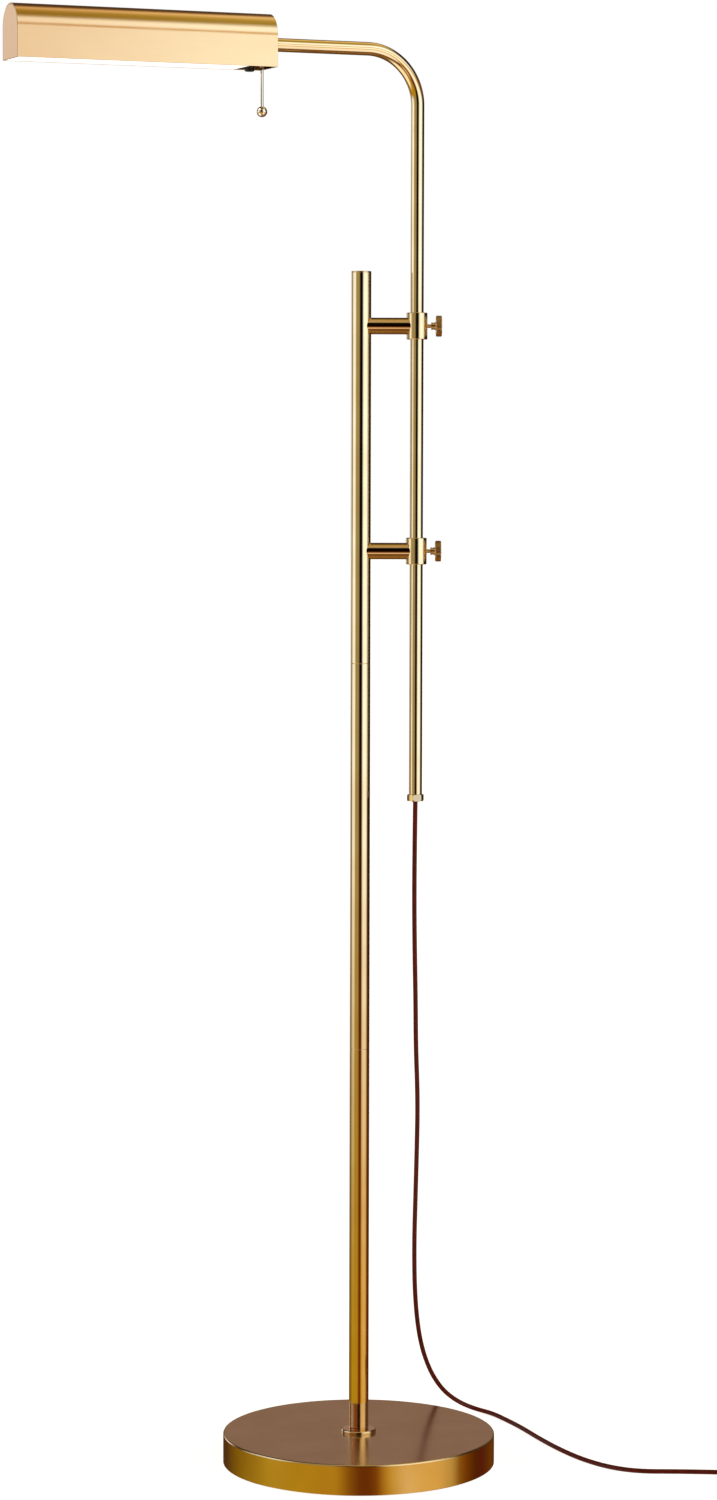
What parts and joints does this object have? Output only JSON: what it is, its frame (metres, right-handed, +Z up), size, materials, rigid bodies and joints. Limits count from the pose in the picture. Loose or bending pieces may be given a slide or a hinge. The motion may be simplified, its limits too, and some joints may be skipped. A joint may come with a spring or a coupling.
{
  "type": "adjustable arm floor lamp",
  "caption": "Brass floor lamp: round weighted foot, straight post, sliding and swivelling stem held by clamp collars, bent arm, tilting trough shade with pull switch, free cord.",
  "frame": {"origin": "centre of the foot's underside, on the floor", "axes": "+Z up; +X from the post towards the stem and the clamp knobs; the arm points to -X, swung 22 degrees towards -Y at rest"},
  "size_m": [0.761, 0.3633, 1.39],
  "materials": {
    "polished_brass": "polished and lacquered",
    "satin_brass": "brushed along its length and lacquered",
    "turned_brass": "turned",
    "pale_brass": "bright plated wire",
    "zinc_steel": "zinc plated",
    "cast_iron": "rough, black painted",
    "felt": "dense felt",
    "nylon": "natural",
    "fibre": "vulcanised fibre",
    "black_plastic": "moulded",
    "opal_acrylic": "opal, satin",
    "white_enamel": "white gloss",
    "circuit_board": "white solder mask",
    "light_chip": "phosphor",
    "aluminium": "mill finish",
    "cord_plastic": "red-brown, smooth",
    "plug_plastic": "red-brown, moulded"
  },
  "bodies": {
    "root": {"base_cover": "polished_brass", "base_felt": "felt", "base_ballast": "cast_iron", "base_stud": "zinc_steel", "base_washer": "zinc_steel", "base_nut": "zinc_steel", "foot_ring": "polished_brass", "post_lower": "polished_brass", "post_middle": "polished_brass", "post_upper": "polished_brass", "lower_joiner": "turned_brass", "upper_joiner": "turned_brass", "post_foot_bush": "turned_brass", "post_top_plug": "polished_brass", "upper_bracket_arm": "polished_brass", "upper_collar": "polished_brass", "upper_bracket_screw": "zinc_steel", "lower_bracket_arm": "polished_brass", "lower_collar": "polished_brass", "lower_bracket_screw": "zinc_steel", "power_cord": "cord_plastic", "cord_coil": "cord_plastic", "cord_tail": "cord_plastic", "plug_relief": "plug_plastic", "plug_body": "plug_plastic", "plug_blades": "turned_brass"},
    "cord_swivel": {"cord_bushing": "nylon"},
    "stem": {"stem_tube": "polished_brass", "stem_end_nut": "polished_brass", "inner_lead": "cord_plastic", "pivot_tube": "turned_brass", "friction_washer": "fibre", "spring_washer": "zinc_steel", "pivot_nut": "turned_brass"},
    "shade": {"shade_shell": "satin_brass", "shade_near_cap": "satin_brass", "shade_far_cap": "satin_brass", "bay_partition": "white_enamel", "diffuser": "opal_acrylic", "reflector_tray": "white_enamel", "light_board": "circuit_board", "heat_spreader": "aluminium", "light_driver": "black_plastic", "light_chips": "light_chip", "driver_lead": "cord_plastic", "pull_switch": "black_plastic"},
    "switch_plunger_body": {"switch_plunger": "pale_brass"},
    "pull_link_body": {"pull_link": "pale_brass"},
    "pull_rod_body": {"pull_rod": "pale_brass", "pull_ball": "pale_brass"},
    "upper_shoe": {"upper_clamp_shoe": "nylon"},
    "upper_knob": {"upper_thumb_screw": "turned_brass", "upper_thumb_knob": "polished_brass"},
    "lower_shoe": {"lower_clamp_shoe": "nylon"},
    "lower_knob": {"lower_thumb_screw": "turned_brass", "lower_thumb_knob": "polished_brass"}
  },
  "joints": [
    {"name": "stem_height", "type": "slide", "parent": "root", "child": "cord_swivel", "axis": [0, 0, 1], "range_m": [-0.19, 0.21], "deforming": ["power_cord"]},
    {"name": "stem_swivel", "type": "hinge", "parent": "cord_swivel", "child": "stem", "pos_m": [0.0532, 0, 0.65], "axis": [0, 0, 1], "range_deg": [-170, 170]},
    {"name": "shade_tilt", "type": "hinge", "parent": "stem", "child": "shade", "pos_m": [-0.08727, -0.05675, 1.362], "axis": [-0.9272, -0.3746, 0], "range_deg": [-90, 90]},
    {"name": "switch_pull", "type": "slide", "parent": "shade", "child": "switch_plunger_body", "axis": [0, 0, -1], "range_m": [0, 0.003], "stiffness_N_per_m": 800, "springref_m": -0.002},
    {"name": "link_swing", "type": "hinge", "parent": "switch_plunger_body", "child": "pull_link_body", "pos_m": [-0.09422, -0.05956, 1.346], "axis": [0.3746, -0.9272, 0], "range_deg": [-25, 25]},
    {"name": "rod_swing", "type": "hinge", "parent": "pull_link_body", "child": "pull_rod_body", "pos_m": [-0.09422, -0.05956, 1.342], "axis": [-0.9272, -0.3746, 0], "range_deg": [-25, 25]},
    {"name": "upper_clamp_travel", "type": "slide", "parent": "root", "child": "upper_shoe", "axis": [1, 0, 0], "range_m": [0, 0.00104]},
    {"name": "upper_clamp_turn", "type": "hinge", "parent": "upper_shoe", "child": "upper_knob", "pos_m": [0.0532, 0, 1.102], "axis": [1, 0, 0], "range_deg": [0, 540]},
    {"name": "lower_clamp_travel", "type": "slide", "parent": "root", "child": "lower_shoe", "axis": [1, 0, 0], "range_m": [0, 0.00104]},
    {"name": "lower_clamp_turn", "type": "hinge", "parent": "lower_shoe", "child": "lower_knob", "pos_m": [0.0532, 0, 0.8874], "axis": [1, 0, 0], "range_deg": [0, 540]}
  ],
  "couplings": [
    {"joint": "upper_clamp_turn", "follows": "upper_clamp_travel", "rad_per_m": 8976},
    {"joint": "lower_clamp_turn", "follows": "lower_clamp_travel", "rad_per_m": 8976}
  ]
}
